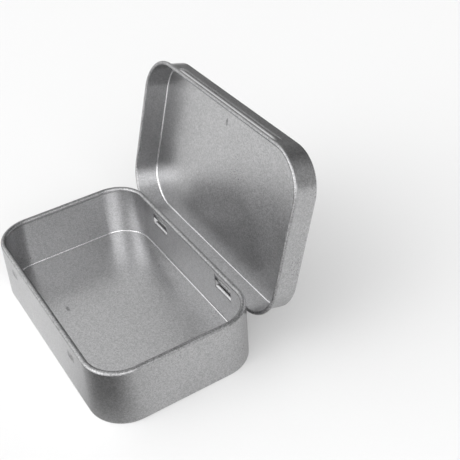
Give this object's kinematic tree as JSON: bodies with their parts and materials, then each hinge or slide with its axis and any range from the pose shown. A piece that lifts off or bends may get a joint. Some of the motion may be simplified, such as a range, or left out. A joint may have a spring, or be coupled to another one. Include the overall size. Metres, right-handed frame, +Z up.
{
  "type": "hinged metal tin",
  "caption": "Flat rectangular tinplate box with rounded corners, a curled rim and a hinged lid on bent-out tongues, standing open.",
  "frame": {"origin": "middle of the base's flat underside, on the table", "axes": "+X along the tin's length, -Y towards the front wall with the catch bumps, +Y towards the hinged back wall, +Z up"},
  "size_m": [0.095, 0.0805, 0.0706],
  "materials": {
    "base": "satin",
    "lid": "satin"
  },
  "bodies": {
    "base": {"base": "base"},
    "lid": {"lid": "lid"}
  },
  "joints": [
    {"name": "lid_hinge", "type": "hinge", "parent": "base", "child": "lid", "pos_m": [0, 0.02927, 0.01318], "axis": [-1, 0, 0], "range_deg": [-104.5, 0]}
  ]
}
